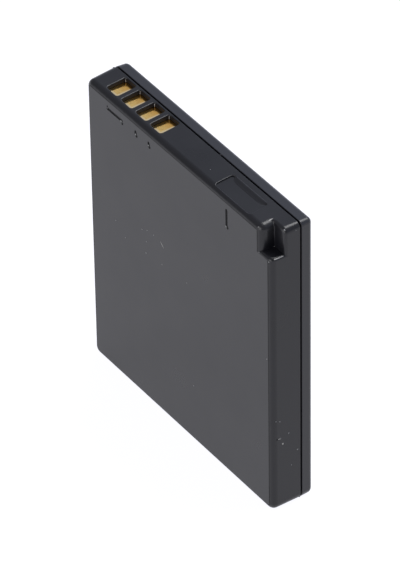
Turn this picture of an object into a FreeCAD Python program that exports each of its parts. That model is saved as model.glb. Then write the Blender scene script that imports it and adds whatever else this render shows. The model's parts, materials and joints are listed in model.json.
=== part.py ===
import FreeCAD, Part
import os
import Sketcher

# Camera battery: a thin welded pack that stands on its lower end.
# +X runs across the pack, -Y is the front face, +Z is the end with the contacts.
# The origin is the middle of the pack's footprint, at the height of its lower end.

# Driving dimensions, in millimetres and degrees
DIMENSIONS = [
    # Outside of the pack
    ("outer_width", 35.4),
    ("outer_height", 40.0),
    ("outer_depth", 5.5),
    ("corner_radius", 1.15),
    ("key_corner_radius", 0.65),
    ("front_round", 0.75),
    ("back_round", 0.5),
    ("side_draft", 2.9),
    ("cover_taper", 4.8),
    # Seam between shell and cover
    ("shell_depth", 3.78),
    ("seam_gap", 0.2),
    ("seam_round", 0.06),
    ("weld_lip", 0.35),
    ("tongue_thickness", 0.3),
    ("tongue_reach", 0.7),
    ("tongue_clearance", 0.05),
    # Walls
    ("front_wall", 0.5),
    ("back_wall", 0.5),
    ("side_wall", 0.8),
    ("top_wall", 0.45),
    ("bottom_wall", 0.7),
    ("cover_wall", 0.8),
    ("inner_radius", 0.35),
    # Contact windows
    ("window_from_left", 4.0),
    ("window_from_front", 0.86),
    ("window_pitch", 2.79),
    ("window_width", 2.05),
    ("window_from_seam", 0.26),
    ("window_radius", 0.3),
    ("window_frame", 0.5),
    ("rim_round", 0.12),
    # Shallow recess in the contact end
    ("recess_from_right", 4.75),
    ("recess_from_front", 0.5),
    ("recess_width", 6.5),
    ("recess_length", 2.5),
    ("recess_depth", 0.15),
    ("recess_radius", 0.4),
    ("recess_round", 0.08),
    # Key notch in the upper right corner of the front
    ("notch_width", 2.0),
    ("notch_depth", 1.8),
    ("notch_height", 3.5),
    ("notch_wall", 0.5),
    ("notch_side_round", 0.86),
    ("notch_rim_round", 0.4),
    ("notch_inner_round", 0.08),
    # Moulded marks on the front face
    ("mark_width", 0.4),
    ("mark_depth", 0.12),
    ("mark_from_top", 1.8),
    ("dash_drop", 0.12),
    ("dash_length", 2.7),
    ("dash_from_left", 4.4),
    ("tick_length", 0.4),
    ("first_tick_from_left", 9.8),
    ("second_tick_from_left", 12.3),
    ("bar_length", 2.25),
    ("bar_from_left", 27.0),
    # Cell with its sheets and its pad
    ("adhesive_thickness", 0.1),
    ("adhesive_margin", 0.6),
    ("cell_side_gap", 0.15),
    ("cell_side_flat", 0.5),
    ("cell_edge_round", 0.4),
    ("electronics_bay", 5.6),
    ("foam_thickness", 0.5),
    ("foam_end_gap", 1.5),
    ("foam_width", 2.2),
    ("foam_gap", 0.3),
    # Terminal and plug in the cell's cap
    ("seat_depth", 0.3),
    ("gasket_radius", 1.3),
    ("gasket_floor", 0.1),
    ("gasket_rise", 0.15),
    ("shank_radius", 0.6),
    ("head_radius", 1.1),
    ("head_height", 0.75),
    ("head_round", 0.15),
    ("plug_radius", 0.5),
    ("plug_depth", 0.35),
    ("plug_from_terminal", 5.0),
    # Sheet on the cap
    ("insulator_thickness", 0.2),
    ("insulator_end_gap", 1.1),
    ("insulator_margin", 0.05),
    ("insulator_clearance", 0.08),
    # Board and its contacts
    ("board_thickness", 0.6),
    ("board_side_gap", 0.4),
    ("board_front_gap", 0.15),
    ("board_back_gap", 0.45),
    ("board_corner", 0.3),
    ("contact_thickness", 0.3),
    ("contact_overlap", 0.15),
    ("contact_clearance", 0.03),
    ("contact_corner", 0.2),
    # Carrier under the board
    ("carrier_front_setback", 0.15),
    ("carrier_back_setback", 0.05),
    ("carrier_wall", 0.3),
    ("carrier_floor", 0.5),
    ("carrier_end_post", 1.6),
    ("carrier_middle_post", 1.2),
    ("middle_post_from_left", 11.0),
    ("opening_from_terminal", 2.8),
    ("opening_end_gap", 0.65),
    # Strips and thermal fuse
    ("strip_thickness", 0.15),
    ("strip_width", 2.5),
    ("strip_bend", 0.1),
    ("strip_overhang", 1.4),
    ("strip_end_gap", 0.6),
    ("fuse_from_terminal", 3.8),
    ("fuse_length", 4.4),
    ("fuse_clearance", 0.2),
    ("fuse_thickness", 0.6),
    ("fuse_corner", 0.25),
    ("negative_foot", 1.85),
    ("negative_end_gap", 1.2),
    ("positive_from_left", 5.7),
    ("positive_width", 3.0),
    ("positive_cap_foot", 2.6),
    ("positive_board_foot", 1.2),
    ("positive_riser_gap", 0.1),
    # Parts soldered under the board
    ("lead_thickness", 0.2),
    ("lead_width", 0.3),
    ("lead_stick_out", 0.3),
    ("body_stand_off", 0.1),
    ("end_cap_length", 0.25),
    ("end_cap_swell", 0.03),
]

# Chips with leads on both sides: name, centre from the middle of the pack, length, width,
# height and pitch of the leads
CHIPS = [
    ("protection_chip", -2.2, 2.9, 1.6, 1.0, 0.95),
    ("switch_transistor", 1.15, 3.0, 1.9, 0.95, 0.65),
]

# Small parts with a metal cap at each end: name, side of the pack that it keeps to, centre
# from that side, setback from the middle of the board, length, width and height
SMALL_PARTS = [
    ("thermistor", "left", 4.1, 0.0, 1.6, 0.8, 0.6),
    ("static_capacitor", "left", 9.5, 0.9, 1.0, 0.5, 0.5),
    ("sense_resistor", "right", 12.1, 0.0, 1.6, 0.8, 0.45),
    ("filter_resistor", "right", 10.2, 0.0, 1.0, 0.5, 0.35),
    ("filter_capacitor", "right", 8.8, 0.0, 1.0, 0.5, 0.5),
]

WINDOW_COUNT = 4
LEAD_PAIR_COUNT = {"protection_chip": 3, "switch_transistor": 4}

for name, *sizes in CHIPS:
    words = ("from_middle", "length", "width", "height", "pitch")
    DIMENSIONS += [(f"{name}_{word}", size) for word, size in zip(words, sizes)]
for name, side, *sizes in SMALL_PARTS:
    words = (f"from_{side}", "setback", "length", "width", "height")
    DIMENSIONS += [(f"{name}_{word}", size) for word, size in zip(words, sizes)]

document = FreeCAD.newDocument("camera_battery")
sheet = document.addObject("Spreadsheet::Sheet", "Dim")
for row, (name, size) in enumerate(DIMENSIONS, 1):
    sheet.set(f"A{row}", name)
    sheet.set(f"B{row}", str(size))
    sheet.setAlias(f"B{row}", name)
document.recompute()

# Places that several pieces share, as expressions on the sheet
SLOPE = "tan(Dim.side_draft * 1 deg)"
LEFT = "(-Dim.outer_width / 2)"
RIGHT = "(Dim.outer_width / 2)"
FRONT = "(-Dim.outer_depth / 2)"
BACK = "(Dim.outer_depth / 2)"
SEAM = f"({FRONT} + Dim.shell_depth)"
COVER = f"({SEAM} + Dim.seam_gap)"
INNER_FRONT = f"({FRONT} + Dim.front_wall)"
INNER_BACK = f"({BACK} - Dim.back_wall)"
NOTCH_X = f"({RIGHT} - Dim.notch_width)"
NOTCH_Y = f"({FRONT} + Dim.notch_depth)"
NOTCH_Z = "(Dim.outer_height - Dim.notch_height)"
WINDOW_X = f"({LEFT} + Dim.window_from_left)"
WINDOW_Y = f"({FRONT} + Dim.window_from_front)"
WINDOW_BACK = f"({SEAM} - Dim.window_from_seam)"
WINDOW_MIDDLE = f"(({WINDOW_Y} + {WINDOW_BACK}) / 2)"
LAST_WINDOW_X = f"({WINDOW_X} + {WINDOW_COUNT - 1} * Dim.window_pitch)"
SHELF_LEFT = f"({WINDOW_X} - Dim.window_width / 2 - Dim.window_frame)"
SHELF_RIGHT = f"({LAST_WINDOW_X} + Dim.window_width / 2 + Dim.window_frame)"
CELL_BOTTOM = "(Dim.bottom_wall + Dim.foam_thickness)"
CELL_TOP = "(Dim.outer_height - Dim.electronics_bay)"
CELL_RIGHT = (
    f"({RIGHT} - Dim.side_wall - {SLOPE} * (Dim.shell_depth - Dim.front_wall) - Dim.cell_side_gap)"
)
CELL_FRONT = f"({INNER_FRONT} + Dim.adhesive_thickness)"
CELL_BACK = f"({INNER_BACK} - Dim.adhesive_thickness)"
CELL_SIDE_RADIUS = f"(({CELL_BACK} - {CELL_FRONT} - Dim.cell_side_flat) / 2)"
CAP_Y = f"(({CELL_FRONT} + {CELL_BACK}) / 2)"
CONTACT_Y = f"({WINDOW_Y} - Dim.contact_overlap)"
FRAME_BOTTOM = f"(Dim.outer_height - Dim.top_wall - {SLOPE} * ({SEAM} - {CONTACT_Y}))"
CONTACT_TOP = f"({FRAME_BOTTOM} - Dim.contact_clearance)"
BOARD_TOP = f"({CONTACT_TOP} - Dim.contact_thickness)"
BOARD_BOTTOM = f"({BOARD_TOP} - Dim.board_thickness)"
BOARD_LEFT = f"({LEFT} + Dim.side_wall + Dim.board_side_gap)"
BOARD_RIGHT = f"({NOTCH_X} - Dim.notch_wall - Dim.board_side_gap)"
BOARD_FRONT = f"({INNER_FRONT} + Dim.board_front_gap)"
BOARD_BACK = f"({INNER_BACK} - Dim.board_back_gap)"
BOARD_MIDDLE = f"(({BOARD_FRONT} + {BOARD_BACK}) / 2)"
CARRIER_BOTTOM = f"({CELL_TOP} + Dim.insulator_thickness)"
CARRIER_FRONT = f"({BOARD_FRONT} + Dim.carrier_front_setback)"
CARRIER_BACK = f"({BOARD_BACK} - Dim.carrier_back_setback)"
CARRIER_WIDTH = f"({CARRIER_BACK} - {CARRIER_FRONT})"
HEAD_BOTTOM = f"({CELL_TOP} + Dim.gasket_rise)"
HEAD_TOP = f"({HEAD_BOTTOM} + Dim.head_height)"
FUSE_BOTTOM = f"({HEAD_TOP} + Dim.strip_thickness)"
FUSE_TOP = f"({FUSE_BOTTOM} + Dim.fuse_thickness)"
FUSE_END = "(Dim.fuse_from_terminal + Dim.fuse_length)"
FUSE_HALF = f"({CAP_Y} - {CARRIER_FRONT} - Dim.carrier_wall - Dim.fuse_clearance)"
NEGATIVE_END = f"({BOARD_RIGHT} - Dim.carrier_end_post - Dim.negative_end_gap)"
NEGATIVE_RISER = f"({NEGATIVE_END} - Dim.negative_foot - Dim.strip_thickness)"
POSITIVE_X = f"({LEFT} + Dim.positive_from_left)"
POSITIVE_RISER = f"({CARRIER_BACK} + Dim.positive_riser_gap)"


def value(expression):
    """Number that an expression on the sheet gives."""
    result = sheet.evalExpression(str(expression))
    return float(getattr(result, "Value", result))


def new_body(label):
    body = document.addObject("PartDesign::Body", label)
    body.Label = label
    return body


def place(body, x, y, z):
    """Binds a body's place to expressions."""
    for axis, size in zip("xyz", (x, y, z)):
        body.setExpression(f"Placement.Base.{axis}", size)


def sketch_on(body, name, role, offset="0"):
    """Sketch on one of the body's own origin planes, moved along the plane's normal."""
    plane = next(item for item in body.Origin.OriginFeatures if item.Role == role)
    sketch = body.newObject("Sketcher::SketchObject", name)
    sketch.AttachmentSupport = [(plane, "")]
    sketch.MapMode = "FlatFace"
    sketch.setExpression("AttachmentOffset.Base.z", offset)
    return sketch


def level_sketch(body, name, height="0"):
    """Sketch in X and Y, at a height. Its normal points up."""
    return sketch_on(body, name, "XY_Plane", height)


def upright_sketch(body, name, place_y="0"):
    """Sketch in X and Z, at a place along Y. Its normal points to the front."""
    return sketch_on(body, name, "XZ_Plane", f"-({place_y})")


def side_sketch(body, name, place_x="0"):
    """Sketch in Y and Z, at a place along X. Its normal points to the right."""
    return sketch_on(body, name, "YZ_Plane", place_x)


def bind(sketch, kind, *points, size):
    """Adds a constraint whose size follows an expression."""
    index = sketch.addConstraint(Sketcher.Constraint(kind, *points, value(size)))
    sketch.setExpression(f"Constraints[{index}]", str(size))


def rounded_rectangle(sketch, left, right, low, high, radius, first_radius=None):
    """Rectangle with round corners, bound to expressions. The upper right one may differ."""
    x0, x1, y0, y1, r = (value(item) for item in (left, right, low, high, radius))
    q = value(first_radius or radius)
    corners = [(x1 - q, y1 - q, q), (x0 + r, y1 - r, r), (x0 + r, y0 + r, r), (x1 - r, y0 + r, r)]
    quarter = 1.5707963267948966
    first = sketch.GeometryCount
    for turn, (x, y, size) in enumerate(corners):
        circle = Part.Circle(FreeCAD.Vector(x, y, 0), FreeCAD.Vector(0, 0, 1), size)
        sketch.addGeometry(Part.ArcOfCircle(circle, turn * quarter, (turn + 1) * quarter), False)
    sides = [
        ((x1 - q, y1), (x0 + r, y1)),
        ((x0, y1 - r), (x0, y0 + r)),
        ((x0 + r, y0), (x1 - r, y0)),
        ((x1, y0 + r), (x1, y1 - q)),
    ]
    for start, end in sides:
        line = Part.LineSegment(FreeCAD.Vector(*start, 0), FreeCAD.Vector(*end, 0))
        sketch.addGeometry(line, False)
    for side in range(4):
        line = first + 4 + side
        sketch.addConstraint(Sketcher.Constraint("Tangent", first + side, 2, line, 1))
        sketch.addConstraint(Sketcher.Constraint("Tangent", line, 2, first + (side + 1) % 4, 1))
        direction = "Horizontal" if side % 2 == 0 else "Vertical"
        sketch.addConstraint(Sketcher.Constraint(direction, line))
        if side > 1:
            sketch.addConstraint(Sketcher.Constraint("Equal", first + 1, first + side))
    bind(sketch, "Radius", first, size=first_radius or radius)
    bind(sketch, "Radius", first + 1, size=radius)
    bind(sketch, "DistanceY", -1, 1, first + 4, 1, size=high)
    bind(sketch, "DistanceX", -1, 1, first + 5, 1, size=left)
    bind(sketch, "DistanceY", -1, 1, first + 6, 1, size=low)
    bind(sketch, "DistanceX", -1, 1, first + 7, 1, size=right)


def polygon(sketch, points):
    """Closed outline of straight lines through points that are pairs of expressions."""
    corners = [FreeCAD.Vector(value(x), value(y), 0) for x, y in points]
    first = sketch.GeometryCount
    count = len(points)
    for index in range(count):
        sketch.addGeometry(Part.LineSegment(corners[index], corners[(index + 1) % count]), False)
    for index, (x, y) in enumerate(points):
        following = first + (index + 1) % count
        sketch.addConstraint(Sketcher.Constraint("Coincident", first + index, 2, following, 1))
        bind(sketch, "DistanceX", -1, 1, first + index, 1, size=x)
        bind(sketch, "DistanceY", -1, 1, first + index, 1, size=y)


def rectangle(sketch, left, right, low, high):
    polygon(sketch, [(left, low), (right, low), (right, high), (left, high)])


def circle_at(sketch, x, y, radius):
    centre = FreeCAD.Vector(value(x), value(y), 0)
    index = sketch.addGeometry(Part.Circle(centre, FreeCAD.Vector(0, 0, 1), value(radius)), False)
    bind(sketch, "Radius", index, size=radius)
    bind(sketch, "DistanceX", -1, 1, index, 3, size=x)
    bind(sketch, "DistanceY", -1, 1, index, 3, size=y)


def slot(sketch, start, end, width):
    """Round-ended slot between two points, along X or Y of the sketch."""
    a, b = [FreeCAD.Vector(value(x), value(y), 0) for x, y in (start, end)]
    half = value(width) / 2
    along = (b - a).normalize() * half
    side = FreeCAD.Vector(-along.y, along.x, 0)
    first = sketch.GeometryCount
    sketch.addGeometry(Part.Arc(a + side, a - along, a - side), False)
    sketch.addGeometry(Part.LineSegment(a - side, b - side), False)
    sketch.addGeometry(Part.Arc(b - side, b + along, b + side), False)
    sketch.addGeometry(Part.LineSegment(b + side, a + side), False)
    for part in range(4):
        following = first + (part + 1) % 4
        sketch.addConstraint(Sketcher.Constraint("Tangent", first + part, 2, following, 1))
    bind(sketch, "Radius", first, size=f"{width} / 2")
    for arc, (x, y) in ((first, start), (first + 2, end)):
        bind(sketch, "DistanceX", -1, 1, arc, 3, size=x)
        bind(sketch, "DistanceY", -1, 1, arc, 3, size=y)


def pad(body, sketch, length, reverse=False):
    feature = body.newObject("PartDesign::Pad", sketch.Name + "_pad")
    feature.Profile = sketch
    feature.setExpression("Length", length)
    feature.Reversed = reverse
    document.recompute()
    return feature


def pocket(body, sketch, length, reverse=False):
    """Cut against the sketch's normal, or along it if reversed. The solid has to get smaller."""
    before = body.Tip.Shape.Volume
    feature = body.newObject("PartDesign::Pocket", sketch.Name + "_cut")
    feature.Profile = sketch
    feature.setExpression("Length", length)
    feature.Reversed = reverse
    document.recompute()
    if not feature.Shape.Volume < before:
        raise RuntimeError(feature.Label + " cuts nothing")
    return feature


def loft(body, kind, name, first, second):
    feature = body.newObject(kind, name)
    feature.Profile = first
    feature.Sections = [second]
    feature.Ruled = True
    document.recompute()
    return feature


def fillet(body, points, radius):
    """Rounds the edges nearest to the points, and what runs on from them smoothly."""
    base = body.Tip
    names = []
    for point in points:
        spot = Part.Vertex(*[value(item) for item in point])
        gaps = [edge.distToShape(spot)[0] for edge in base.Shape.Edges]
        names.append(f"Edge{gaps.index(min(gaps)) + 1}")
    feature = body.newObject("PartDesign::Fillet", "Round")
    feature.Base = (base, sorted(set(names)))
    feature.setExpression("Radius", radius)
    document.recompute()
    return feature


def outline(sketch, inset, radius, key_radius=None, bottom=None, top=None):
    """Outline of the pack seen from the front, inset from its full width and height."""
    low = inset if bottom is None else bottom
    high = inset if top is None else top
    rounded_rectangle(sketch, f"{LEFT} + {inset}", f"{RIGHT} - ({inset})", low,
                      f"Dim.outer_height - ({high})", radius, key_radius)


def end_face_sketch(body, name):
    """Sketch on the sloping contact end. Its Y is measured from the seam."""
    sketch = level_sketch(body, name, "Dim.outer_height")
    sketch.setExpression("AttachmentOffset.Base.y", SEAM)
    tilt = FreeCAD.Rotation(FreeCAD.Vector(1, 0, 0), value("Dim.side_draft"))
    sketch.AttachmentOffset = FreeCAD.Placement(sketch.AttachmentOffset.Base, tilt)
    sketch.setExpression("AttachmentOffset.Rotation.Angle", "Dim.side_draft * 1 deg")
    return sketch


def make_front_shell():
    body = new_body("front_shell")
    inset = f"({SLOPE} * Dim.shell_depth)"
    inner_inset = f"({SLOPE} * (Dim.shell_depth - Dim.front_wall))"

    # Outside: walls that open towards the seam, and a flat lower end to stand on
    seam_outline = upright_sketch(body, "seam_outline", SEAM)
    outline(seam_outline, "0", "Dim.corner_radius", "Dim.key_corner_radius")
    front_outline = upright_sketch(body, "front_outline", FRONT)
    outline(front_outline, inset, f"Dim.corner_radius - {inset}", bottom="0")
    loft(body, "PartDesign::AdditiveLoft", "outside", seam_outline, front_outline)
    fillet(body, [("0", FRONT, "0")], "Dim.front_round")
    fillet(body, [("0", SEAM, "0")], "Dim.seam_round")

    # Inside: a hollow with the same draft, and the rebate that takes the cover's tongue
    hollow_rear = upright_sketch(body, "hollow_rear", SEAM)
    outline(hollow_rear, "Dim.side_wall", "Dim.inner_radius",
            bottom="Dim.bottom_wall", top="Dim.top_wall")
    hollow_front = upright_sketch(body, "hollow_front", INNER_FRONT)
    outline(hollow_front, f"Dim.side_wall + {inner_inset}", "Dim.inner_radius",
            bottom="Dim.bottom_wall", top=f"Dim.top_wall + {inner_inset}")
    loft(body, "PartDesign::SubtractiveLoft", "hollow", hollow_rear, hollow_front)
    rebate = upright_sketch(body, "rebate", SEAM)
    outline(rebate, "Dim.weld_lip", "Dim.corner_radius - Dim.weld_lip",
            "Dim.key_corner_radius - Dim.weld_lip")
    pocket(body, rebate, "Dim.tongue_reach", reverse=True)

    # Level frame that the contact windows go through, and that fills the rebate there
    frame = side_sketch(body, "window_frame", SHELF_LEFT)
    reach = f"{SEAM} - Dim.tongue_reach"
    inside_front = f"{FRONT} + Dim.front_wall / 2"
    ceiling = "Dim.outer_height - Dim.top_wall"
    lip = "Dim.outer_height - Dim.weld_lip / 2"
    polygon(frame, [
        (SEAM, FRAME_BOTTOM), (SEAM, lip), (reach, lip), (reach, ceiling),
        (inside_front, ceiling), (inside_front, FRAME_BOTTOM),
    ])
    pad(body, frame, f"{SHELF_RIGHT} - {SHELF_LEFT}")

    # Key notch: a solid corner is left inside, then the notch is cut out of it
    corner = upright_sketch(body, "notch_corner", f"{FRONT} + Dim.front_wall / 2")
    rectangle(corner, f"{NOTCH_X} - Dim.notch_wall", f"{RIGHT} - Dim.side_wall / 2 - {inner_inset}",
              f"{NOTCH_Z} - Dim.notch_wall", f"Dim.outer_height - Dim.top_wall / 2 - {inner_inset}")
    pad(body, corner, "Dim.notch_depth + Dim.notch_wall - Dim.front_wall / 2", reverse=True)
    notch = upright_sketch(body, "notch", FRONT)
    rectangle(notch, NOTCH_X, "Dim.outer_width", NOTCH_Z, "Dim.outer_height * 2")
    pocket(body, notch, "Dim.notch_depth")
    mid_z = f"{NOTCH_Z} + Dim.notch_height / 2"
    fillet(body, [(NOTCH_X, FRONT, mid_z)], "Dim.notch_side_round")
    fillet(body, [(NOTCH_X, NOTCH_Y, mid_z)], "Dim.notch_inner_round")
    floor_rim = (f"{NOTCH_X} + Dim.notch_width / 2", FRONT, NOTCH_Z)
    fillet(body, [(RIGHT, NOTCH_Y, mid_z), floor_rim], "Dim.notch_rim_round")

    # Contact windows with a slightly rounded rim
    window = end_face_sketch(body, "window")
    rounded_rectangle(window, f"{WINDOW_X} - Dim.window_width / 2", f"{WINDOW_X} + Dim.window_width / 2",
                      f"{WINDOW_Y} - {SEAM}", "-Dim.window_from_seam", "Dim.window_radius")
    first_window = pocket(body, window, f"Dim.top_wall + {inset}")
    windows = body.newObject("PartDesign::LinearPattern", "windows")
    windows.Originals = [first_window]
    windows.Direction = (window, ["H_Axis"])
    windows.Occurrences = WINDOW_COUNT
    windows.setExpression("Length", f"{WINDOW_COUNT - 1} * Dim.window_pitch")
    body.Tip = windows
    document.recompute()
    rim_z = f"Dim.outer_height - {SLOPE} * ({SEAM} - {WINDOW_MIDDLE})"
    rims = [
        (f"{WINDOW_X} + {index} * Dim.window_pitch - Dim.window_width / 2", WINDOW_MIDDLE, rim_z)
        for index in range(WINDOW_COUNT)
    ]
    fillet(body, rims, "Dim.rim_round")

    # Shallow recess
    recess = end_face_sketch(body, "recess")
    right = f"{RIGHT} - Dim.recess_from_right"
    low = f"{FRONT} + Dim.recess_from_front"
    rounded_rectangle(recess, f"{right} - Dim.recess_width", right, f"{low} - {SEAM}",
                      f"{low} + Dim.recess_length - {SEAM}", "Dim.recess_radius")
    pocket(body, recess, "Dim.recess_depth")
    recess_y = f"({low} + Dim.recess_length)"
    recess_z = f"Dim.outer_height - {SLOPE} * ({SEAM} - {recess_y})"
    fillet(body, [(f"{right} - Dim.recess_width / 2", recess_y, recess_z)], "Dim.recess_round")

    # Moulded marks
    marks = upright_sketch(body, "marks", FRONT)
    top = "(Dim.outer_height - Dim.mark_from_top)"
    dash_z = f"{top} - Dim.dash_drop"
    dash_x = f"{LEFT} + Dim.dash_from_left"
    slot(marks, (dash_x, dash_z), (f"{dash_x} + Dim.dash_length", dash_z), "Dim.mark_width")
    strokes = [
        ("first_tick_from_left", "tick_length"),
        ("second_tick_from_left", "tick_length"),
        ("bar_from_left", "bar_length"),
    ]
    for from_left, length in strokes:
        x = f"{LEFT} + Dim.{from_left}"
        slot(marks, (x, top), (x, f"{top} - Dim.{length}"), "Dim.mark_width")
    pocket(body, marks, "Dim.mark_depth")
    return body


def make_back_cover():
    body = new_body("back_cover")
    inset = f"(tan(Dim.cover_taper * 1 deg) * ({BACK} - {COVER}))"

    # Outside
    rear = upright_sketch(body, "rear", BACK)
    outline(rear, inset, f"Dim.corner_radius - {inset}", "Dim.back_round * 1.05", bottom="0")
    rim = upright_sketch(body, "rim", COVER)
    outline(rim, "0", "Dim.corner_radius", "Dim.key_corner_radius")
    loft(body, "PartDesign::AdditiveLoft", "outside", rear, rim)
    fillet(body, [("0", BACK, "0")], "Dim.back_round")
    fillet(body, [("0", COVER, "0")], "Dim.seam_round")

    # Hollow
    hollow = upright_sketch(body, "hollow", COVER)
    outline(hollow, "Dim.cover_wall", "Dim.inner_radius")
    pocket(body, hollow, f"{INNER_BACK} - {COVER}")

    # Tongue that stands on the shell's rebate and holds the seam open
    outer = "Dim.weld_lip + Dim.tongue_clearance"
    inner = f"{outer} + Dim.tongue_thickness"
    tongue = upright_sketch(body, "tongue", COVER)
    key_radius = f"Dim.key_corner_radius - ({outer})"
    outline(tongue, outer, f"Dim.corner_radius - ({outer})", key_radius)
    outline(tongue, inner, f"Dim.corner_radius - ({inner})", key_radius)
    pad(body, tongue, "Dim.seam_gap + Dim.tongue_reach")
    gap = upright_sketch(body, "tongue_gap", COVER)
    rectangle(gap, f"{SHELF_LEFT} - Dim.tongue_clearance", f"{SHELF_RIGHT} + Dim.tongue_clearance",
              f"Dim.outer_height - ({inner}) - Dim.tongue_clearance", "Dim.outer_height")
    pocket(body, gap, "Dim.seam_gap + Dim.tongue_reach", reverse=True)
    return body


def make_contacts():
    for number in range(WINDOW_COUNT):
        body = new_body(f"contact_{number + 1}")
        plate = level_sketch(body, f"plate_{number + 1}")
        half = "(Dim.window_width / 2 + Dim.contact_overlap)"
        length = f"({WINDOW_BACK} - {WINDOW_Y} + 2 * Dim.contact_overlap)"
        rounded_rectangle(plate, f"-{half}", half, "0", length, "Dim.contact_corner")
        pad(body, plate, "Dim.contact_thickness")
        place(body, f"{WINDOW_X} + {number} * Dim.window_pitch", CONTACT_Y, BOARD_TOP)


def make_circuit_board():
    body = new_body("circuit_board")
    board = level_sketch(body, "board", BOARD_BOTTOM)
    rounded_rectangle(board, BOARD_LEFT, BOARD_RIGHT, BOARD_FRONT, BOARD_BACK, "Dim.board_corner")
    pad(body, board, "Dim.board_thickness")


def make_board_carrier():
    body = new_body("board_carrier")
    block = upright_sketch(body, "carrier", CARRIER_FRONT)
    rectangle(block, BOARD_LEFT, BOARD_RIGHT, CARRIER_BOTTOM, BOARD_BOTTOM)
    pad(body, block, CARRIER_WIDTH, reverse=True)

    # Two bays behind the front wall, with posts at the ends and between them
    floor = f"{CARRIER_BOTTOM} + Dim.carrier_floor"
    post = f"({LEFT} + Dim.middle_post_from_left)"
    bays = upright_sketch(body, "carrier_bays", f"{CARRIER_FRONT} + Dim.carrier_wall")
    rectangle(bays, f"{BOARD_LEFT} + Dim.carrier_end_post", post, floor, "Dim.outer_height")
    rectangle(bays, f"{post} + Dim.carrier_middle_post", f"{BOARD_RIGHT} - Dim.carrier_end_post",
              floor, "Dim.outer_height")
    pocket(body, bays, CARRIER_WIDTH)

    # Opening for the terminal and the thermal fuse
    opening = upright_sketch(body, "carrier_opening", f"{CARRIER_FRONT} + Dim.carrier_wall")
    right = f"{NEGATIVE_RISER} + Dim.strip_thickness + Dim.opening_end_gap"
    rectangle(opening, "-Dim.opening_from_terminal", right, CELL_TOP, f"{floor} + Dim.carrier_floor")
    pocket(body, opening, CARRIER_WIDTH)


def make_cell():
    can = new_body("cell_can")
    section = level_sketch(can, "can_section", CELL_BOTTOM)
    rounded_rectangle(section, f"-{CELL_RIGHT}", CELL_RIGHT, CELL_FRONT, CELL_BACK, CELL_SIDE_RADIUS)
    pad(can, section, f"{CELL_TOP} - {CELL_BOTTOM}")
    fillet(can, [("0", CELL_FRONT, CELL_TOP), ("0", CELL_FRONT, CELL_BOTTOM)], "Dim.cell_edge_round")
    seat = level_sketch(can, "terminal_seat", CELL_TOP)
    circle_at(seat, "0", CAP_Y, "Dim.gasket_radius")
    pocket(can, seat, "Dim.seat_depth")
    hole = level_sketch(can, "filling_hole", CELL_TOP)
    circle_at(hole, "-Dim.plug_from_terminal", CAP_Y, "Dim.plug_radius")
    pocket(can, hole, "Dim.plug_depth")

    plug = new_body("fill_plug")
    disc = level_sketch(plug, "plug_disc")
    circle_at(disc, "0", "0", "Dim.plug_radius")
    pad(plug, disc, "Dim.plug_depth")
    place(plug, "-Dim.plug_from_terminal", CAP_Y, f"{CELL_TOP} - Dim.plug_depth")

    gasket = new_body("terminal_gasket")
    ring = level_sketch(gasket, "gasket_ring")
    circle_at(ring, "0", "0", "Dim.gasket_radius")
    pad(gasket, ring, "Dim.seat_depth + Dim.gasket_rise")
    bore = level_sketch(gasket, "gasket_bore", "Dim.gasket_floor")
    circle_at(bore, "0", "0", "Dim.shank_radius")
    pocket(gasket, bore, "Dim.seat_depth + Dim.gasket_rise", reverse=True)
    place(gasket, "0", CAP_Y, f"{CELL_TOP} - Dim.seat_depth")

    terminal = new_body("cell_terminal")
    shank = level_sketch(terminal, "terminal_shank")
    circle_at(shank, "0", "0", "Dim.shank_radius")
    shank_length = "(Dim.seat_depth + Dim.gasket_rise - Dim.gasket_floor)"
    pad(terminal, shank, shank_length)
    head = level_sketch(terminal, "terminal_head", shank_length)
    circle_at(head, "0", "0", "Dim.head_radius")
    pad(terminal, head, "Dim.head_height")
    fillet(terminal, [("0", "Dim.head_radius", f"{shank_length} + Dim.head_height")], "Dim.head_round")
    place(terminal, "0", CAP_Y, f"{CELL_TOP} - Dim.seat_depth + Dim.gasket_floor")


def make_cap_insulator():
    body = new_body("cap_insulator")
    sheet_outline = level_sketch(body, "insulator", CELL_TOP)
    half = f"({CELL_RIGHT} - Dim.insulator_end_gap)"
    edge = "Dim.cell_edge_round + Dim.insulator_margin"
    rectangle(sheet_outline, f"-{half}", half, f"{CELL_FRONT} + {edge}", f"{CELL_BACK} - ({edge})")
    pad(body, sheet_outline, "Dim.insulator_thickness")
    openings = level_sketch(body, "insulator_openings", CELL_TOP)
    circle_at(openings, "0", CAP_Y, "Dim.gasket_radius + Dim.insulator_clearance")
    rectangle(openings, f"{POSITIVE_X} - Dim.insulator_clearance",
              f"{POSITIVE_X} + Dim.positive_width + Dim.insulator_clearance",
              f"{POSITIVE_RISER} - Dim.positive_cap_foot - Dim.insulator_clearance", "Dim.outer_depth")
    pocket(body, openings, "Dim.insulator_thickness", reverse=True)


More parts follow.
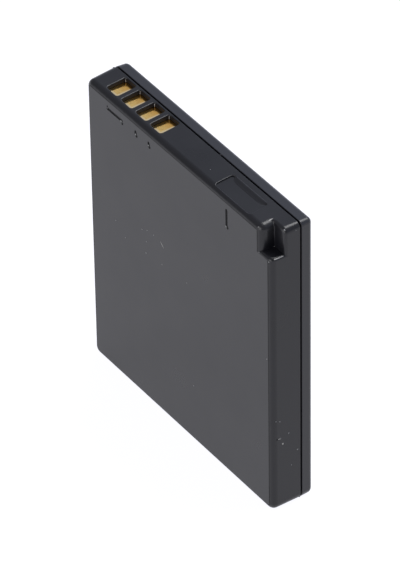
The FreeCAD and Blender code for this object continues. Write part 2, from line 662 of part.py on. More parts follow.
def make_strips():
    left = f"{CAP_Y} - Dim.strip_width / 2"
    strip = new_body("terminal_strip")
    flat = level_sketch(strip, "strip", HEAD_TOP)
    rectangle(flat, "-Dim.strip_overhang", f"{FUSE_END} - Dim.strip_end_gap", left,
              f"{left} + Dim.strip_width")
    pad(strip, flat, "Dim.strip_thickness")

    fuse = new_body("thermal_fuse")
    block = level_sketch(fuse, "fuse", FUSE_BOTTOM)
    rounded_rectangle(block, "Dim.fuse_from_terminal", FUSE_END, f"{CAP_Y} - {FUSE_HALF}",
                      f"{CAP_Y} + {FUSE_HALF}", "Dim.fuse_corner")
    pad(fuse, block, "Dim.fuse_thickness")

    # From the top of the fuse, up and out under the board
    negative = new_body("negative_tab")
    bent = upright_sketch(negative, "negative_bent", left)
    start = "Dim.fuse_from_terminal + Dim.strip_end_gap"
    riser = NEGATIVE_RISER
    outer = f"({riser} + Dim.strip_thickness)"
    end = NEGATIVE_END
    under = f"{BOARD_BOTTOM} - Dim.strip_thickness"
    over = f"{FUSE_TOP} + Dim.strip_thickness"
    polygon(bent, [
        (start, FUSE_TOP), (outer, FUSE_TOP), (outer, under), (end, under),
        (end, BOARD_BOTTOM), (riser, BOARD_BOTTOM), (riser, over), (start, over),
    ])
    pad(negative, bent, "Dim.strip_width", reverse=True)
    fillet(negative, [(outer, CAP_Y, under), (riser, CAP_Y, over)], "Dim.strip_bend")
    fillet(negative, [(outer, CAP_Y, FUSE_TOP), (riser, CAP_Y, BOARD_BOTTOM)],
           "Dim.strip_bend + Dim.strip_thickness")

    # From the cap, up behind the carrier and in under the board
    positive = new_body("positive_tab")
    bent = side_sketch(positive, "positive_bent", POSITIVE_X)
    riser = POSITIVE_RISER
    outer = f"({riser} + Dim.strip_thickness)"
    foot = f"{riser} - Dim.positive_cap_foot"
    end = f"{riser} - Dim.positive_board_foot"
    over = f"{CELL_TOP} + Dim.strip_thickness"
    polygon(bent, [
        (foot, CELL_TOP), (outer, CELL_TOP), (outer, BOARD_BOTTOM), (end, BOARD_BOTTOM),
        (end, under), (riser, under), (riser, over), (foot, over),
    ])
    pad(positive, bent, "Dim.positive_width")
    middle = f"{POSITIVE_X} + Dim.positive_width / 2"
    fillet(positive, [(middle, riser, under), (middle, riser, over)], "Dim.strip_bend")
    fillet(positive, [(middle, outer, CELL_TOP), (middle, outer, BOARD_BOTTOM)],
           "Dim.strip_bend + Dim.strip_thickness")


def make_board_parts():
    # The board's underside is at zero height here, and the parts hang down from it
    for name, *sizes in CHIPS:
        body = new_body(name)
        block = level_sketch(body, name + "_block", "-Dim.body_stand_off")
        rectangle(block, f"-Dim.{name}_length / 2", f"Dim.{name}_length / 2",
                  f"-Dim.{name}_width / 2", f"Dim.{name}_width / 2")
        pad(body, block, f"Dim.{name}_height - Dim.body_stand_off", reverse=True)
        leads = level_sketch(body, name + "_leads")
        reach = f"(Dim.{name}_width / 2 + Dim.lead_stick_out)"
        pairs = LEAD_PAIR_COUNT[name]
        for index in range(pairs):
            x = f"{index - (pairs - 1) / 2} * Dim.{name}_pitch"
            rectangle(leads, f"{x} - Dim.lead_width / 2", f"{x} + Dim.lead_width / 2", f"-{reach}", reach)
        pad(body, leads, "Dim.lead_thickness", reverse=True)
        place(body, f"Dim.{name}_from_middle", BOARD_MIDDLE, BOARD_BOTTOM)

    for name, keeps_to, *sizes in SMALL_PARTS:
        body = new_body(name)
        half = f"Dim.{name}_length / 2"
        side = f"Dim.{name}_width / 2"
        block = level_sketch(body, name + "_block")
        rectangle(block, f"-{half}", half, f"-{side}", side)
        pad(body, block, f"Dim.{name}_height", reverse=True)
        caps = level_sketch(body, name + "_caps")
        swell = f"({side} + Dim.end_cap_swell)"
        rectangle(caps, f"-{half}", f"-{half} + Dim.end_cap_length", f"-{swell}", swell)
        rectangle(caps, f"{half} - Dim.end_cap_length", half, f"-{swell}", swell)
        pad(body, caps, f"Dim.{name}_height + Dim.end_cap_swell", reverse=True)
        x = f"{LEFT} + Dim.{name}_from_left" if keeps_to == "left" else f"{RIGHT} - Dim.{name}_from_right"
        place(body, x, f"{BOARD_MIDDLE} - Dim.{name}_setback", BOARD_BOTTOM)


def make_sheets():
    half = f"({CELL_RIGHT} - {CELL_SIDE_RADIUS} - Dim.adhesive_margin)"
    low = f"{CELL_BOTTOM} + Dim.cell_edge_round + Dim.adhesive_margin"
    high = f"{CELL_TOP} - Dim.cell_edge_round - Dim.adhesive_margin"
    for name, face in (("front_adhesive", INNER_FRONT), ("back_adhesive", CELL_BACK)):
        body = new_body(name)
        area = upright_sketch(body, name + "_area", face)
        rectangle(area, f"-{half}", half, low, high)
        pad(body, area, "Dim.adhesive_thickness", reverse=True)

    foam = new_body("foam_pad")
    base = level_sketch(foam, "foam", "Dim.bottom_wall")
    start = f"{INNER_FRONT} + Dim.foam_gap"
    half = f"({CELL_RIGHT} - {CELL_SIDE_RADIUS} - Dim.foam_end_gap)"
    rectangle(base, f"-{half}", half, start, f"{start} + Dim.foam_width")
    pad(foam, base, "Dim.foam_thickness")


def write_steps():
    """Checks every object, then writes each sub-part to its own file."""
    document.recompute()
    for item in document.Objects:
        if "Invalid" in item.State or "Error" in item.State:
            raise RuntimeError(f"{item.Label} did not compute")
    bodies = [item for item in document.Objects if item.TypeId == "PartDesign::Body"]
    for body in bodies:
        if body.Shape.isNull() or not body.Shape.isValid() or len(body.Shape.Solids) != 1:
            raise RuntimeError(f"{body.Label} is not one sound solid")
    os.makedirs("parts", exist_ok=True)
    for body in bodies:
        body.Shape.exportStep(f"parts/{body.Label}.step")
    print(len(bodies), "sub-parts written")


make_front_shell()
make_back_cover()
make_contacts()
make_circuit_board()
make_board_carrier()
make_cell()
make_cap_insulator()
make_strips()
make_board_parts()
make_sheets()
write_steps()
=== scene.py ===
"""Camera battery, lit and seen as in its photograph.

Lengths are in millimetres, apart from those of the lights and the camera's range, which are in metres.
"""

import json
import math

import bmesh
import bpy
from mathutils import Matrix, Vector


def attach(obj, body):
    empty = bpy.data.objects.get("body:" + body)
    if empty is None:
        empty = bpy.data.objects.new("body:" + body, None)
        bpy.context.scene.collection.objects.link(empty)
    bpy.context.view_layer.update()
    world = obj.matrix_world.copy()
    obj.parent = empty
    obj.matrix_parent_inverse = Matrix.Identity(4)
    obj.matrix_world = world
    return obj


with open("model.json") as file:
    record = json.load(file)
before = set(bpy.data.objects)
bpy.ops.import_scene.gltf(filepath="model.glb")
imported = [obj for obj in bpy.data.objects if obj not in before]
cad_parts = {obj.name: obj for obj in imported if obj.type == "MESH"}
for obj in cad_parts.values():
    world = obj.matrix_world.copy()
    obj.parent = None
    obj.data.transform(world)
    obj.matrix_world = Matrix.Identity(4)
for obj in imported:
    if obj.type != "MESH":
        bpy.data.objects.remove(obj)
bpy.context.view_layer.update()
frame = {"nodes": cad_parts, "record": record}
nodes = frame["nodes"]
scene = bpy.context.scene

MM = 0.001

# Pack: depths of its front and its seam, right wall and top at the seam, height of its middle, the
# slope by which sides and top lean in towards the front, and the round of its corners
FRONT = -2.75
SEAM = 1.03
SIDE = 17.7
TOP = 40.0
MIDDLE_HEIGHT = 20
SLOPE = math.tan(math.radians(2.9))
CORNER_ROUND = 1.15

# Contact windows, and the space in which their walls are rough
WINDOW_COUNT = 4
WINDOW_LEFT = -14.725
WINDOW_PITCH = 2.79
ROUGH_FROM = -1.93
ROUGH_ACROSS = (-14.8, -4.2)
ROUGH_HEIGHT = (39.3, 39.75)

# Key notch: its floor, and the round of its rim
NOTCH_FLOOR = 36.5
NOTCH_ROUND = 0.4

# Marks sunk into the front, and the shallow recess in the top with the end of its back round
MARK_DEPTHS = (-2.745, -2.60)
RECESS_DEPTH = 0.15
RECESS_BACK = 0.33

# Camera, at the photograph's viewing angle
CAMERA_PLACE = Vector((395.340, -275.765, 419.260)) * MM
CAMERA_RIGHT = Vector((0.5808964, 0.81387526, -0.01290076))
CAMERA_DOWN = Vector((0.51337662, -0.37862533, -0.77012162))
CAMERA_FORWARD = Vector((-0.63166749, 0.44073793, -0.63776662))
FOCAL_PIXELS = 5592.5
FRAME_HEIGHT = 570
SENSOR = 36.0


def make_camera():
    data = bpy.data.cameras.new("photo_camera")
    data.sensor_fit = "VERTICAL"
    data.sensor_height = SENSOR
    data.lens = SENSOR * FOCAL_PIXELS / FRAME_HEIGHT
    data.clip_start = 0.01
    data.clip_end = 50
    camera = bpy.data.objects.new("photo_camera", data)
    turn = Matrix((CAMERA_RIGHT, -CAMERA_DOWN, -CAMERA_FORWARD)).transposed().to_4x4()
    camera.matrix_world = Matrix.Translation(CAMERA_PLACE) @ turn
    scene.collection.objects.link(camera)
    scene.camera = camera


# Surroundings from the front (0) to the back (1): dim in front, bright and bluish behind
SKY = [
    (0.15, (0.33, 0.335, 0.35)),
    (0.45, (0.36, 0.37, 0.40)),
    (0.69, (0.39, 0.42, 0.48)),
    (0.78, (0.66, 0.71, 0.86)),
    (0.95, (0.95, 1.0, 1.15)),
]


def area_light(name, direction, distance, size, radiance):
    """A softbox of an even radiance that faces the middle of the pack."""
    data = bpy.data.lights.new(name, "AREA")
    data.shape = "RECTANGLE"
    data.size, data.size_y = size
    data.energy = radiance * math.pi * size[0] * size[1]
    light = bpy.data.objects.new(name, data)
    toward = Vector(direction).normalized()
    light.location = Vector((0, 0, MIDDLE_HEIGHT * MM)) + toward * distance
    light.rotation_euler = toward.to_track_quat("Z", "Y").to_euler()
    scene.collection.objects.link(light)


def make_sky():
    world = bpy.data.worlds.new("studio")
    world.use_nodes = True
    tree = world.node_tree
    direction = tree.nodes.new("ShaderNodeTexCoord")
    axes = tree.nodes.new("ShaderNodeSeparateXYZ")
    share = tree.nodes.new("ShaderNodeMapRange")
    share.inputs["From Min"].default_value = -1
    ramp = tree.nodes.new("ShaderNodeValToRGB")
    stops = ramp.color_ramp.elements
    while len(stops) < len(SKY):
        stops.new(0.5)
    for stop, (position, colour) in zip(stops, SKY):
        stop.position = position
        stop.color = (*colour, 1)
    tree.links.new(direction.outputs["Generated"], axes.inputs[0])
    tree.links.new(axes.outputs["Y"], share.inputs["Value"])
    tree.links.new(share.outputs[0], ramp.inputs[0])
    tree.links.new(ramp.outputs[0], tree.nodes["Background"].inputs["Color"])
    scene.world = world


def make_lights():
    area_light("top_softbox", (-0.03, 0.43, 0.89), distance=1.0, size=(0.58, 0.50), radiance=7.5)
    area_light("front_softbox", (0.2, -0.95, 0.25), distance=1.2, size=(0.8, 0.8), radiance=3.0)
    make_sky()


class Graph:
    """Short way to write a material's nodes."""

    def __init__(self, name):
        self.material = bpy.data.materials.new(name)
        self.material.use_nodes = True
        self.nodes = self.material.node_tree.nodes
        self.links = self.material.node_tree.links
        self.shader = self.nodes["Principled BSDF"]
        coordinates = self.nodes.new("ShaderNodeTexCoord")
        self.place = coordinates.outputs["Object"]

    def feed(self, socket, source):
        if isinstance(source, bpy.types.NodeSocket):
            self.links.new(source, socket)
        else:
            socket.default_value = source

    def math(self, operation, *sources):
        node = self.nodes.new("ShaderNodeMath")
        node.operation = operation
        for socket, source in zip(node.inputs, sources):
            self.feed(socket, source)
        return node.outputs[0]

    def between(self, place, low, high):
        """1 between two places, 0 elsewhere."""
        above = self.math("GREATER_THAN", place, low * MM)
        return self.math("MULTIPLY", above, self.math("LESS_THAN", place, high * MM))

    def vector(self, operation, first):
        node = self.nodes.new("ShaderNodeVectorMath")
        node.operation = operation
        self.feed(node.inputs[0], first)
        return node

    def scaled(self, colour, factor):
        node = self.vector("SCALE", colour)
        self.feed(node.inputs["Scale"], factor)
        return node.outputs["Vector"]

    def distance(self, first, second):
        node = self.vector("DISTANCE", first)
        self.feed(node.inputs[1], second)
        return node.outputs["Value"]

    def split(self, vector):
        node = self.nodes.new("ShaderNodeSeparateXYZ")
        self.feed(node.inputs[0], vector)
        return node.outputs

    def surface(self, output):
        """A property of the surface itself, such as its normal or which side is seen."""
        return self.nodes.new("ShaderNodeNewGeometry").outputs[output]

    def noise(self, size, detail=3, roughness=0.5):
        node = self.nodes.new("ShaderNodeTexNoise")
        self.feed(node.inputs["Vector"], self.place)
        node.inputs["Scale"].default_value = 1 / (size * MM)
        node.inputs["Detail"].default_value = detail
        node.inputs["Roughness"].default_value = roughness
        return node.outputs["Fac"]

    def spread(self, source, low, high, start=0.0, end=1.0):
        """Stretch a value's range to another range, without going past its ends."""
        node = self.nodes.new("ShaderNodeMapRange")
        for name, value in (("Value", source), ("From Min", low), ("From Max", high),
                            ("To Min", start), ("To Max", end)):
            self.feed(node.inputs[name], value)
        return node.outputs["Result"]

    def vary(self, source, start, end):
        """A value that follows the middle of a noise's range."""
        return self.spread(source, 0.3, 0.7, start, end)

    def ramp(self, place, low, high, start=0.0, end=1.0):
        """A value that changes from one place to another."""
        return self.spread(place, low * MM, high * MM, start, end)

    def mix(self, share, first, second):
        node = self.nodes.new("ShaderNodeMix")
        node.data_type = "RGBA"
        self.feed(node.inputs[0], share)
        self.feed(node.inputs[6], first)
        self.feed(node.inputs[7], second)
        return node.outputs[2]

    def bump(self, height, depth, strength):
        node = self.nodes.new("ShaderNodeBump")
        node.inputs["Strength"].default_value = strength
        node.inputs["Distance"].default_value = depth * MM
        self.feed(node.inputs["Height"], height)
        return node.outputs["Normal"]

    def set(self, **sources):
        for name, source in sources.items():
            self.feed(self.shader.inputs[name.replace("_", " ")], source)


# Moulded plastic: sizes of its grain and clouds, colours inside the marks that are painted light, the
# facing by which their floors and walls are told apart, and what is added to the roughness there and
# in the windows
MOULDED_GRAIN = 0.05
MOULDED_CLOUD = 6.0
PAINTED_LIGHT_MARK_FLOOR = (0.012, 0.012, 0.013, 1)
PAINTED_LIGHT_MARK_WALL = (0.06, 0.06, 0.065, 1)
FLOOR_FACING = -0.97
WALL_FACING = 0.03
ADDED_ROUGHNESS = 0.45


def moulded_plastic(name, colour, with_marks=False):
    """Satin moulded plastic.

    The floor of a sunk mark is a little paler and its wall paler still, painted light that lifts the
    shade inside the mark, and both are rough. The walls of the contact windows are rough too, in the
    plastic's own colour.
    """
    graph = Graph(name)
    grain = graph.noise(MOULDED_GRAIN, detail=2, roughness=0.6)
    cloud = graph.noise(MOULDED_CLOUD)
    base = graph.scaled(colour, graph.vary(cloud, 0.94, 1.06))
    roughness = graph.vary(cloud, 0.27, 0.33)
    if with_marks:
        x, y, z = graph.split(graph.place)
        facing = graph.split(graph.surface("Normal"))[1]
        to_front = graph.math("LESS_THAN", facing, FLOOR_FACING)
        to_side = graph.math("LESS_THAN", graph.math("ABSOLUTE", facing), WALL_FACING)
        sunk = graph.between(y, *MARK_DEPTHS)
        floor = graph.math("MULTIPLY", sunk, to_front)
        wall = graph.math("MULTIPLY", sunk, to_side)
        window = graph.math("GREATER_THAN", y, ROUGH_FROM * MM)
        for place, limits in ((x, ROUGH_ACROSS), (z, ROUGH_HEIGHT)):
            window = graph.math("MULTIPLY", window, graph.between(place, *limits))
        rough = graph.math("MAXIMUM", graph.math("MAXIMUM", floor, wall), window)
        roughness = graph.math("ADD", roughness, graph.math("MULTIPLY", rough, ADDED_ROUGHNESS))
        # Painted light: paler floor and wall colours lift the shade inside the marks
        base = graph.mix(floor, base, PAINTED_LIGHT_MARK_FLOOR)
        base = graph.mix(wall, base, PAINTED_LIGHT_MARK_WALL)
    graph.set(Base_Color=base, Roughness=roughness, Normal=graph.bump(grain, 0.0015, 0.35))
    graph.shader.inputs["Specular IOR Level"].default_value = 0.45
    return graph.material


# Even materials: sizes of their grain and clouds
PLAIN_GRAIN = 0.1
PLAIN_CLOUD = 12 * PLAIN_GRAIN


def plain(name, colour, roughness, metallic=0.0):
    """Even material with slight clouds in its colour and roughness, and a fine grain."""
    graph = Graph(name)
    cloud = graph.noise(PLAIN_CLOUD)
    graph.set(Base_Color=graph.scaled(colour, graph.vary(cloud, 0.9, 1.1)), Metallic=metallic,
              Roughness=graph.vary(cloud, roughness * 0.85, roughness * 1.15),
              Normal=graph.bump(graph.noise(PLAIN_GRAIN, detail=2), 0.002, 0.5))
    return graph.material


# Contact gold: its colours, of which the back one is painted shade, the depths over which that painted
# shade deepens, and where a painted highlight turns it pale: in depth, and across from the left edge
# of each window
FRONT_GOLD = (1.0, 0.66, 0.22, 1)
SHADED_BACK_GOLD = (0.86, 0.47, 0.11, 1)
STAINED_GOLD = (0.62, 0.35, 0.10, 1)
HIGHLIGHT_GOLD = (1.0, 0.86, 0.58, 1)
GOLD_SHADE_DEPTHS = (-1.0, 0.2)
HIGHLIGHT_IN_FRONT = (-1.32, -1.44)
HIGHLIGHT_AT_RIGHT = (1.30, 1.42)


def gold_plate():
    """Gold with painted shade that deepens it at the back, stained in patches, and with a painted
    highlight that turns it pale in front and at the right.
    """
    graph = Graph("contact_gold")
    x, y, _ = graph.split(graph.place)
    across = graph.math("MODULO", graph.math("ADD", x, -WINDOW_LEFT * MM), WINDOW_PITCH * MM)
    # Painted highlight: the gold turns pale near the front and right edges of each window
    pale_highlight = graph.math("MAXIMUM", graph.ramp(y, *HIGHLIGHT_IN_FRONT), graph.ramp(across, *HIGHLIGHT_AT_RIGHT))
    stain = graph.noise(0.4, detail=4, roughness=0.6)
    # Painted shade: the gold darkens towards the back of each window
    colour = graph.mix(graph.ramp(y, *GOLD_SHADE_DEPTHS), FRONT_GOLD, SHADED_BACK_GOLD)
    colour = graph.mix(graph.spread(stain, 0.48, 0.72, 0, 0.5), colour, STAINED_GOLD)
    colour = graph.mix(graph.math("MULTIPLY", pale_highlight, 0.6), colour, HIGHLIGHT_GOLD)
    graph.set(Base_Color=colour, Metallic=1.0, Roughness=graph.vary(stain, 0.14, 0.2),
              Normal=graph.bump(graph.noise(0.05, detail=2), 0.0005, 0.5))
    return graph.material


def make_materials():
    return {
        "shell_plastic": moulded_plastic("shell_plastic", (0.0080, 0.0080, 0.0112), with_marks=True),
        "cover_plastic": moulded_plastic("cover_plastic", (0.0110, 0.0115, 0.0160)),
        "contact_gold": gold_plate(),
        "board_resin": plain("board_resin", (0.02, 0.10, 0.04), 0.35),
        "carrier_plastic": plain("carrier_plastic", (0.04, 0.04, 0.04), 0.5),
        "can_aluminium": plain("can_aluminium", (0.72, 0.73, 0.75), 0.32, metallic=1.0),
        "terminal_nickel": plain("terminal_nickel", (0.66, 0.64, 0.60), 0.3, metallic=1.0),
        "gasket_plastic": plain("gasket_plastic", (0.72, 0.72, 0.68), 0.5),
        "insulator_sheet": plain("insulator_sheet", (0.62, 0.60, 0.50), 0.8),
        "strip_nickel": plain("strip_nickel", (0.62, 0.60, 0.56), 0.35, metallic=1.0),
        "fuse_cover": plain("fuse_cover", (0.30, 0.24, 0.08), 0.5),
        "chip_resin": plain("chip_resin", (0.02, 0.02, 0.022), 0.55),
        "component_dark": plain("component_dark", (0.03, 0.03, 0.035), 0.4),
        "component_tan": plain("component_tan", (0.45, 0.30, 0.17), 0.5),
        "adhesive_film": plain("adhesive_film", (0.80, 0.80, 0.78), 0.4),
        "pad_foam": plain("pad_foam", (0.05, 0.05, 0.05), 0.9),
    }


def dress(materials):
    for entry in frame["record"]["subparts"]:
        mesh = nodes[entry["node"]].data
        mesh.materials.clear()
        mesh.materials.append(materials[entry["material_slot"]])


def side_x(y):
    """Place of the shell's right wall at a depth."""
    return SIDE - SLOPE * (SEAM - y)


def top_z(y):
    """Height of the shell's top at a depth."""
    return TOP - SLOPE * (SEAM - y)


def set_back(radius):
    """How far the middle of a round lies inside the sharp edge, along each axis."""
    return radius * (1 - math.sqrt(0.5))


def add_piece(name, shape, material):
    """Make a piece of the shell from a shape."""
    mesh = bpy.data.meshes.new(name)
    shape.to_mesh(mesh)
    shape.free()
    mesh.materials.append(material)
    mesh.polygons.foreach_set("use_smooth", [True] * len(mesh.polygons))
    piece = bpy.data.objects.new(name, mesh)
    scene.collection.objects.link(piece)
    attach(piece, "root")


def skin(shape, rings):
    """Join rings that have the same number of points, and close both ends."""
    for first, second in zip(rings, rings[1:]):
        for step in range(len(first)):
            after = (step + 1) % len(first)
            shape.faces.new((first[step], first[after], second[after], second[step]))
    shape.faces.new(reversed(rings[0]))
    shape.faces.new(rings[-1])


# How uneven a lump is, and its waves over its width, over its length and from one lump to the next
LUMP = 0.18
WAVE_ACROSS = 5.1
WAVE_ALONG = 4.3
WAVE_SHIFT = 2.3


def bits(name, places, material):
    """Small flattened lumps that lie on the surface: x, y, z, facing, width, length and turn."""
    shape = bmesh.new()
    size = Matrix.Scale(MM, 4)
    for index, (x, y, z, facing, width, length, turn) in enumerate(places):
        place = Matrix.Translation(Vector((x, y, z)) * MM)
        face = Vector(facing).to_track_quat("Z", "Y").to_matrix().to_4x4()
        spin = Matrix.Rotation(math.radians(turn), 4, "Z")
        flat = Matrix.Diagonal((width / 2, length / 2, min(width, length) / 4, 1))
        lump = bmesh.ops.create_icosphere(shape, subdivisions=2, radius=1)["verts"]
        for vertex in lump:
            across = math.sin(WAVE_ACROSS * vertex.co.x + WAVE_SHIFT * index)
            along = math.cos(WAVE_ALONG * vertex.co.y + index)
            vertex.co = vertex.co * (1 + LUMP * across * along)
        bmesh.ops.transform(shape, matrix=place @ face @ spin @ size @ flat, verts=lump)
    add_piece(name, shape, material)


# Points around a bead, how thin its ends are, and the swell of its thickness along it
BEAD_POINTS = 10
BEAD_END = 0.35
BEAD_SWELL = 0.15
BEAD_WAVE = 3.7


def bead(name, points, radius, material):
    """Thin round bead along a path, thinner at both ends."""
    shape = bmesh.new()
    path = [Vector(point) for point in points]
    last = len(path) - 1
    rings = []
    for index, point in enumerate(path):
        ahead = path[min(index + 1, last)] - path[max(index - 1, 0)]
        turn = ahead.to_track_quat("Z", "Y").to_matrix()
        swell = 1 + BEAD_SWELL * math.sin(BEAD_WAVE * index)
        thick = radius * (BEAD_END if index in (0, last) else swell)
        ring = []
        for step in range(BEAD_POINTS):
            angle = step * math.tau / BEAD_POINTS
            offset = turn @ Vector((math.cos(angle), math.sin(angle), 0)) * thick
            ring.append(shape.verts.new((point + offset) * MM))
        rings.append(ring)
    skin(shape, rings)
    add_piece(name, shape, material)


# Ways a surface faces
TO_FRONT = (0, -1, 0)
TO_RIGHT = (1, 0, 0)
TO_TOP = (0, 0, 1)

# Dust on the front: x, z and size
FRONT_DUST = [
    (-12.29, 22.75, 0.13), (-10.48, 21.43, 0.12), (-7.09, 24.85, 0.14), (-6.08, 25.35, 0.11),
    (-4.83, 25.5, 0.12), (-6.29, 23.59, 0.12), (-6.41, 21.9, 0.15), (2.5, 8.4, 0.15),
    (-3.3, 22.27, 0.10), (1.48, 22.77, 0.10), (16.6, 22.0, 0.12),
]

# Dust on the right side: depth behind the front, z and size
SIDE_DUST = [
    (0.52, 13.29, 0.12), (1.02, 13.05, 0.12), (2.21, 10.83, 0.13), (3.35, 7.86, 0.15),
    (2.54, 5.95, 0.10),
]

# Painted highlights: pale spots on the edges around and behind the key notch
NOTCH_GLINTS = [
    (14.998, -2.597, 39.52, (-0.4, -0.6, 0.7), 0.10, 0.16, 0),
    (15.284, -2.723, 36.245, TO_FRONT, 0.09, 0.16, 60),
    (17.037, -2.71, 36.041, (0.5, -0.8, 0.2), 0.12, 0.15, 0),
    (15.72, -1.03, 36.53, (0.5, -0.5, 0.7), 0.07, 0.1, 0),
    (17.271, -0.747, 39.725, (0.5, -0.2, 0.8), 0.12, 0.18, 20),
    (17.668, 0.469, 39.342, TO_RIGHT, 0.09, 0.15, 0),
]

# Painted highlights: pale glints in the marks: x, z and turn
MARK_GLINTS = [(-10.74, 37.88, 40), (-7.97, 37.77, 50), (-5.52, 37.79, 50), (9.15, 35.85, 55)]
MARK_GLINT_Y = -2.71

# Painted shade: dark spots at the ends of the marks: x, z and size
MARK_END_SHADE = [
    (-10.476, 37.70, 0.27), (-7.733, 37.657, 0.27), (-5.234, 37.665, 0.27), (9.464, 35.815, 0.27),
    (-13.383, 38.37, 0.18),
]

# Painted highlight down the back corner at the left of each window: place from the window's left edge,
# depth and heights
WINDOW_CORNER = (0.105, 0.665)
WINDOW_CORNER_HEIGHTS = (39.37, 39.5, 39.62, 39.75, 39.86)

# Painted highlights on the rims of the key notch: depths along the one of its floor, and points of the
# one at its left
NOTCH_RIM_DEPTHS = (-2.3, -2.2, -2.0, -1.8, -1.6, -1.4, -1.2, -1.05)
INNER_RIM = [
    (15.09, -1.3, 39.83), (15.09, -1.17, 39.84), (15.1, -1.0, 39.86), (15.12, -0.85, 39.885),
    (15.14, -0.72, 39.9),
]


def make_dust_and_painted_highlights(material):
    places = [(x, FRONT, z, TO_FRONT, size, size * 1.3, 40 * x) for x, z, size in FRONT_DUST]
    for depth, z, size in SIDE_DUST:
        y = FRONT + depth
        places.append((side_x(y), y, z, TO_RIGHT, size, size * 1.3, 30 * z))
    on_top = FRONT + 1.55
    places.append((4.19, on_top, top_z(on_top), TO_TOP, 0.07, 0.09, 0))
    # Painted highlights on the edges of the key notch
    places += NOTCH_GLINTS
    places.append((-13.45, -2.68, 38.07, TO_FRONT, 0.13, 0.2, 40))
    # Painted highlights in the marks
    places += [(x, MARK_GLINT_Y, z, TO_FRONT, 0.19, 0.30, turn) for x, z, turn in MARK_GLINTS]
    # Dust, with the painted highlights of the notch and the marks among its bits
    bits("dust_and_painted_highlights", places, material)


def make_scratches(material):
    places = [(-3.19, FRONT, 25.16, TO_FRONT, 0.08, 0.9, 48)]
    for y, z, width, length, turn in ((-1.34, 9.6, 0.2, 0.24, 0), (-1.75, 10.53, 0.11, 0.42, 80)):
        places.append((side_x(y), y, z, TO_RIGHT, width, length, turn))
    bits("scratches", places, material)


def make_pits_and_painted_shade(material):
    # Painted shade at the ends of the marks, and one dark spot on the right side
    places = [(x, FRONT, z, TO_FRONT, size, size * 1.15, 0) for x, z, size in MARK_END_SHADE]
    places.append((side_x(-2.07), -2.07, 10.54, TO_RIGHT, 0.16, 0.2, 0))
    bits("dark_pits_and_painted_shade", places, material)


def make_painted_edge_highlights(material):
    # Painted highlights: pale beads in the window corners and on the notch rims
    from_left, y = WINDOW_CORNER
    for window in range(WINDOW_COUNT):
        x = WINDOW_LEFT + window * WINDOW_PITCH + from_left
        corner = [(x, y, z) for z in WINDOW_CORNER_HEIGHTS]
        bead(f"painted_highlight_window_corner_{window + 1}", corner, 0.035, material)
    inward = set_back(NOTCH_ROUND)
    rim = [(side_x(y) - inward, y, NOTCH_FLOOR - inward) for y in NOTCH_RIM_DEPTHS]
    bead("painted_highlight_notch_rim", rim, 0.06, material)
    bead("painted_highlight_inner_rim", INNER_RIM, 0.05, material)


def make_wear_and_painted_light():
    # Pale material of the dust and of the painted highlights
    pale = plain("dust_and_painted_highlights", (0.36, 0.36, 0.37), 0.6)
    pit_and_shade = plain("dark_pit_and_painted_shade", (0.004, 0.004, 0.004), 0.9)
    # Pale plastic of the scratches and of the painted edge highlights
    scuffs_and_highlights = plain("scuffs_and_painted_highlights", (0.50, 0.49, 0.48), 0.5)
    make_dust_and_painted_highlights(pale)
    make_scratches(scuffs_and_highlights)
    make_pits_and_painted_shade(pit_and_shade)
    make_painted_edge_highlights(scuffs_and_highlights)


def make_flash(material):
    """Plastic pressed out of the seam by the weld."""
    cut = set_back(CORNER_ROUND)
    places = [
        (-SIDE + cut, SEAM - 0.12, TOP - cut, (-1, 0, 1), 0.20, 0.26, 20),
        (SIDE - cut, SEAM + 0.06, cut, (1, 0, -1), 0.22, 0.3, 10),
        (2.8, SEAM + 0.12, TOP - 0.06, TO_TOP, 0.3, 0.16, 0),
    ]
    bits("weld_flash", places, material)


# Slope in the recess: its reach to the front at places across, the steps of its rise, how high its
# foot is over the recess's floor, how far it rises from there, and how deep its underside lies
RAMP_REACH = [
    (6.7, 0.10), (6.9, 0.35), (7.2, 0.58), (7.8, 0.68), (9.7, 0.70), (11.6, 0.68), (12.3, 0.58),
    (12.65, 0.35), (12.85, 0.10),
]
RAMP_STEPS = 8
RAMP_FOOT = 0.003
RAMP_RISE = 0.149
RAMP_UNDERSIDE = 0.17


def make_recess_slope(material):
    """Soft slope at the back of the shallow recess, where its floor runs out."""
    shape = bmesh.new()
    rings = []
    for x, reach in RAMP_REACH:
        points = []
        for step in range(RAMP_STEPS + 1):
            share = step / RAMP_STEPS
            y = RECESS_BACK - reach * (1 - share)
            rise = share * share * (3 - 2 * share)
            points.append((x, y, top_z(y) - RECESS_DEPTH + RAMP_FOOT + RAMP_RISE * rise))
        for y in (RECESS_BACK, RECESS_BACK - reach):
            points.append((x, y, top_z(y) - RAMP_UNDERSIDE))
        rings.append([shape.verts.new(Vector(point) * MM) for point in points])
    skin(shape, rings)
    bmesh.ops.recalc_face_normals(shape, faces=shape.faces)
    add_piece("recess_slope", shape, material)


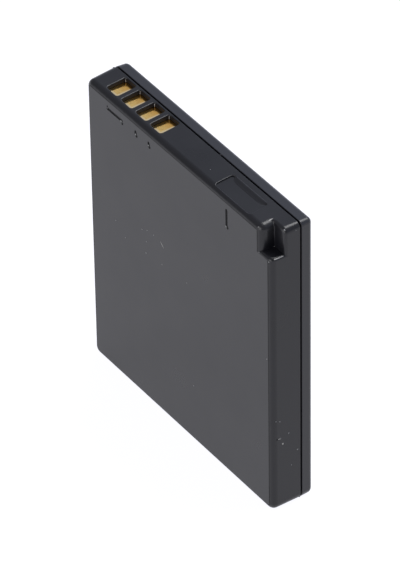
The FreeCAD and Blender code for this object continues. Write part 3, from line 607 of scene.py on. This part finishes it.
# Floor: half its width, how far it lies below the pack, its own light, and the strength of that light
# where it is mirrored, from near a middle to far from it
FLOOR_HALF = 3000
FLOOR_DROP = 0.01
FLOOR_GLOW = (0.955, 0.955, 1.02, 1)
MIRRORED_MIDDLE = Vector((10, 25, 0)) * MM
MIRRORED_DISTANCE = (88, 112)
MIRRORED_STRENGTH = (0.87, 1.0)


def floor_paper():
    """White paper that is a little darker near the pack where it is mirrored, and clear from below."""
    graph = Graph("floor_paper")
    graph.set(Base_Color=(0.12, 0.12, 0.12, 1), Roughness=0.9)
    graph.shader.inputs["Specular IOR Level"].default_value = 0.1
    rays = graph.nodes.new("ShaderNodeLightPath").outputs
    mirrored = graph.math("MAXIMUM", rays["Is Glossy Ray"], rays["Is Transmission Ray"])
    away = graph.distance(graph.place, MIRRORED_MIDDLE)
    strength = graph.ramp(away, *MIRRORED_DISTANCE, *MIRRORED_STRENGTH)
    strength = graph.math("MULTIPLY", mirrored, strength)
    strength = graph.math("MAXIMUM", strength, rays["Is Camera Ray"])
    glow = graph.nodes.new("ShaderNodeEmission")
    graph.feed(glow.inputs["Color"], FLOOR_GLOW)
    graph.feed(glow.inputs["Strength"], strength)
    lit = graph.nodes.new("ShaderNodeAddShader")
    graph.feed(lit.inputs[0], graph.shader.outputs[0])
    graph.feed(lit.inputs[1], glow.outputs[0])
    sided = graph.nodes.new("ShaderNodeMixShader")
    graph.feed(sided.inputs[0], graph.surface("Backfacing"))
    graph.feed(sided.inputs[1], lit.outputs[0])
    graph.feed(sided.inputs[2], graph.nodes.new("ShaderNodeBsdfTransparent").outputs[0])
    graph.feed(graph.nodes["Material Output"].inputs["Surface"], sided.outputs[0])
    return graph.material


def make_floor():
    mesh = bpy.data.meshes.new("floor")
    around = ((-1, -1), (1, -1), (1, 1), (-1, 1))
    corners = [(x * FLOOR_HALF * MM, y * FLOOR_HALF * MM, -FLOOR_DROP * MM) for x, y in around]
    mesh.from_pydata(corners, [], [(0, 1, 2, 3)])
    floor = bpy.data.objects.new("floor", mesh)
    scene.collection.objects.link(floor)
    mesh.materials.append(floor_paper())


scene.view_settings.view_transform = "Standard"
make_camera()
make_lights()
materials = make_materials()
dress(materials)
make_wear_and_painted_light()
make_flash(materials["shell_plastic"])
make_recess_slope(materials["shell_plastic"])
make_floor()
